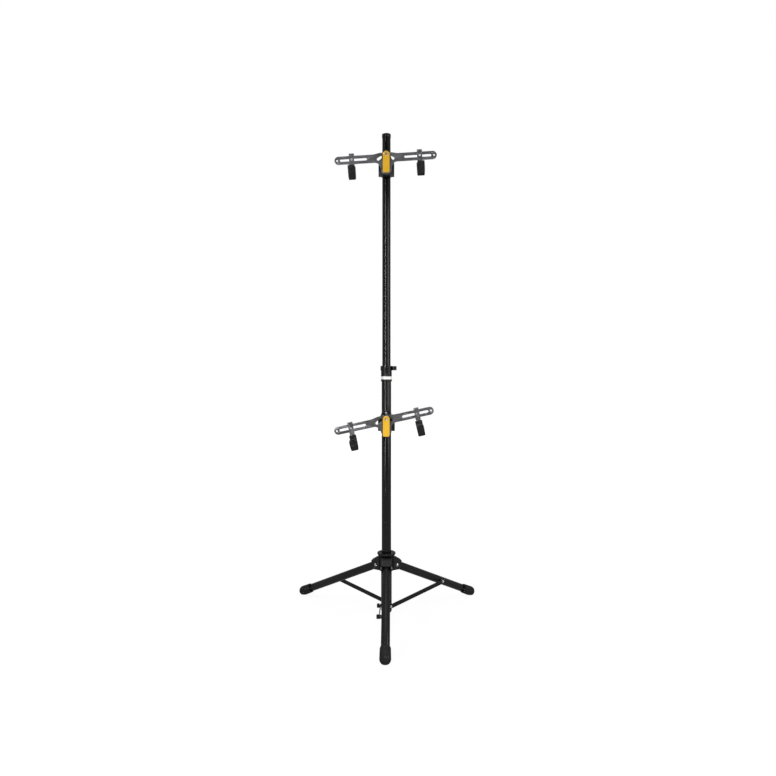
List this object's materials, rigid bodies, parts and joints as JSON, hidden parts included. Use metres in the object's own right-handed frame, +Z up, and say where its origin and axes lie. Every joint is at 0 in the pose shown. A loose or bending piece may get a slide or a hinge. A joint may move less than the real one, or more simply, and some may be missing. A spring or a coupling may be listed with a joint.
{
  "type": "bike storage tower",
  "caption": "Free-standing bicycle storage tower: folding tripod, telescoping mast with a quick-release clamp, and tilting hook arms that each hold a bicycle by its frame.",
  "frame": {"origin": "middle of the tripod footprint on the floor, with the mast behind it by a quarter of the feet's reach", "axes": "+Z up the mast, -Y towards the hooks and the front leg, +X to the right seen from the front"},
  "size_m": [0.8092, 0.7064, 2.02],
  "materials": {
    "black_paint": "gloss powder coat",
    "black_plastic": "fine moulded grain",
    "grey_paint": "satin metallic grey",
    "rubber": "soft matt",
    "bolt_steel": "bright zinc",
    "yellow_plastic": "satin moulded",
    "white_band": "smooth print film"
  },
  "bodies": {
    "mast": {"lower_tube": "black_paint", "base_plug": "black_plastic", "base_collar": "black_paint", "collar_pins": "bolt_steel", "clamp_sleeve": "black_plastic", "clamp_hardware": "bolt_steel", "clamp_label_band": "white_band"},
    "clamp_lever": {"clamp_lever": "black_plastic"},
    "upper_mast": {"upper_tube": "black_paint", "tube_bush": "black_plastic", "top_cap": "black_plastic"},
    "hub": {"hub": "black_plastic", "hub_bush": "black_plastic", "hub_grip": "black_plastic", "hub_pins": "bolt_steel"},
    "leg_front": {"leg_front": "black_paint", "foot_front": "rubber", "pivot_knob": "black_plastic"},
    "leg_right": {"leg_right": "black_paint", "foot_right": "rubber"},
    "leg_left": {"leg_left": "black_paint", "foot_left": "rubber"},
    "lock_pin": {"lock_pin": "black_plastic"},
    "brace_front": {"brace_front": "black_paint", "rivet_front": "bolt_steel"},
    "brace_right": {"brace_right": "black_paint", "rivet_right": "bolt_steel"},
    "brace_left": {"brace_left": "black_paint", "rivet_left": "bolt_steel"},
    "upper_bracket": {"upper_bracket": "black_plastic", "upper_bracket_cap": "black_plastic", "upper_liner": "black_plastic", "upper_bracket_bolts": "bolt_steel", "upper_tilt_pivot": "bolt_steel", "upper_lever_stud": "bolt_steel", "upper_pressure_collar": "black_plastic"},
    "upper_plate": {"upper_plate": "grey_paint"},
    "upper_lever": {"upper_lever": "yellow_plastic"},
    "upper_left_hook": {"upper_left_strap": "grey_paint", "upper_left_pad": "rubber", "upper_left_bolt": "bolt_steel"},
    "upper_right_hook": {"upper_right_strap": "grey_paint", "upper_right_pad": "rubber", "upper_right_bolt": "bolt_steel"},
    "lower_bracket": {"lower_bracket": "black_plastic", "lower_bracket_cap": "black_plastic", "lower_liner": "black_plastic", "lower_bracket_bolts": "bolt_steel", "lower_tilt_pivot": "bolt_steel", "lower_lever_stud": "bolt_steel", "lower_pressure_collar": "black_plastic"},
    "lower_plate": {"lower_plate": "grey_paint"},
    "lower_lever": {"lower_lever": "yellow_plastic"},
    "lower_left_hook": {"lower_left_strap": "grey_paint", "lower_left_pad": "rubber", "lower_left_bolt": "bolt_steel"},
    "lower_right_hook": {"lower_right_strap": "grey_paint", "lower_right_pad": "rubber", "lower_right_bolt": "bolt_steel"}
  },
  "joints": [
    {"name": "mast_slide", "type": "slide", "parent": "mast", "child": "upper_mast", "axis": [0, 0, 1], "range_m": [-0.45, 0.1]},
    {"name": "clamp_lever_turn", "type": "hinge", "parent": "mast", "child": "clamp_lever", "pos_m": [0.0295, 0.09375, 1.0395], "axis": [0, 0, -1], "range_deg": [0, 130]},
    {"name": "hub_slide", "type": "slide", "parent": "mast", "child": "hub", "axis": [0, 0, 1], "range_m": [0, 0.3545]},
    {"name": "leg_front_fold", "type": "hinge", "parent": "hub", "child": "leg_front", "pos_m": [0, 0.06975, 0.2045], "axis": [1, 0, 0], "range_deg": [0, 61.77]},
    {"name": "leg_right_fold", "type": "hinge", "parent": "hub", "child": "leg_right", "pos_m": [0.03551, 0.13125, 0.2045], "axis": [-0.5, 0.866, 0], "range_deg": [0, 61.77]},
    {"name": "leg_left_fold", "type": "hinge", "parent": "hub", "child": "leg_left", "pos_m": [-0.03551, 0.13125, 0.2045], "axis": [-0.5, -0.866, 0], "range_deg": [0, 61.77]},
    {"name": "brace_front_fold", "type": "hinge", "parent": "mast", "child": "brace_front", "pos_m": [0, 0.10275, 0.034], "axis": [-1, 0, 0], "range_deg": [0, 67.26]},
    {"name": "brace_right_fold", "type": "hinge", "parent": "mast", "child": "brace_right", "pos_m": [0.00693, 0.11475, 0.034], "axis": [0.5, -0.866, 0], "range_deg": [0, 67.26]},
    {"name": "brace_left_fold", "type": "hinge", "parent": "mast", "child": "brace_left", "pos_m": [-0.00693, 0.11475, 0.034], "axis": [0.5, 0.866, 0], "range_deg": [0, 67.26]},
    {"name": "lock_pin_pull", "type": "slide", "parent": "mast", "child": "lock_pin", "axis": [-1, 0, 0], "range_m": [0, 0.02]},
    {"name": "upper_arm_height", "type": "slide", "parent": "upper_mast", "child": "upper_bracket", "axis": [0, 0, 1], "range_m": [-0.25, 0.06]},
    {"name": "upper_arm_tilt", "type": "hinge", "parent": "upper_bracket", "child": "upper_plate", "pos_m": [0, 0.11075, 1.8475], "axis": [0, -1, 0], "range_deg": [-33.4, 26.6]},
    {"name": "upper_lever_turn", "type": "hinge", "parent": "upper_bracket", "child": "upper_lever", "pos_m": [0, 0.11075, 1.8975], "axis": [0, 1, 0], "range_deg": [-90, 90]},
    {"name": "upper_left_hook_slide", "type": "slide", "parent": "upper_plate", "child": "upper_left_hook", "axis": [-0.9982, 0, -0.0593], "range_m": [-0.05, 0.04]},
    {"name": "upper_right_hook_slide", "type": "slide", "parent": "upper_plate", "child": "upper_right_hook", "axis": [0.9982, 0, 0.0593], "range_m": [-0.05, 0.04]},
    {"name": "lower_arm_height", "type": "slide", "parent": "mast", "child": "lower_bracket", "axis": [0, 0, 1], "range_m": [-0.15, 0.06]},
    {"name": "lower_arm_tilt", "type": "hinge", "parent": "lower_bracket", "child": "lower_plate", "pos_m": [0, 0.11075, 0.781], "axis": [0, -1, 0], "range_deg": [-42.4, 17.6]},
    {"name": "lower_lever_turn", "type": "hinge", "parent": "lower_bracket", "child": "lower_lever", "pos_m": [0, 0.11075, 0.831], "axis": [0, 1, 0], "range_deg": [-90, 90]},
    {"name": "lower_left_hook_slide", "type": "slide", "parent": "lower_plate", "child": "lower_left_hook", "axis": [-0.9767, 0, -0.2147], "range_m": [-0.05, 0.04]},
    {"name": "lower_right_hook_slide", "type": "slide", "parent": "lower_plate", "child": "lower_right_hook", "axis": [0.9767, 0, 0.2147], "range_m": [-0.05, 0.04]}
  ],
  "couplings": [
    {"joint": "leg_front_fold", "follows": "hub_slide", "rad_per_m": 3.0407},
    {"joint": "leg_right_fold", "follows": "hub_slide", "rad_per_m": 3.0407},
    {"joint": "leg_left_fold", "follows": "hub_slide", "rad_per_m": 3.0407},
    {"joint": "brace_front_fold", "follows": "hub_slide", "rad_per_m": 3.3113},
    {"joint": "brace_right_fold", "follows": "hub_slide", "rad_per_m": 3.3113},
    {"joint": "brace_left_fold", "follows": "hub_slide", "rad_per_m": 3.3113}
  ]
}
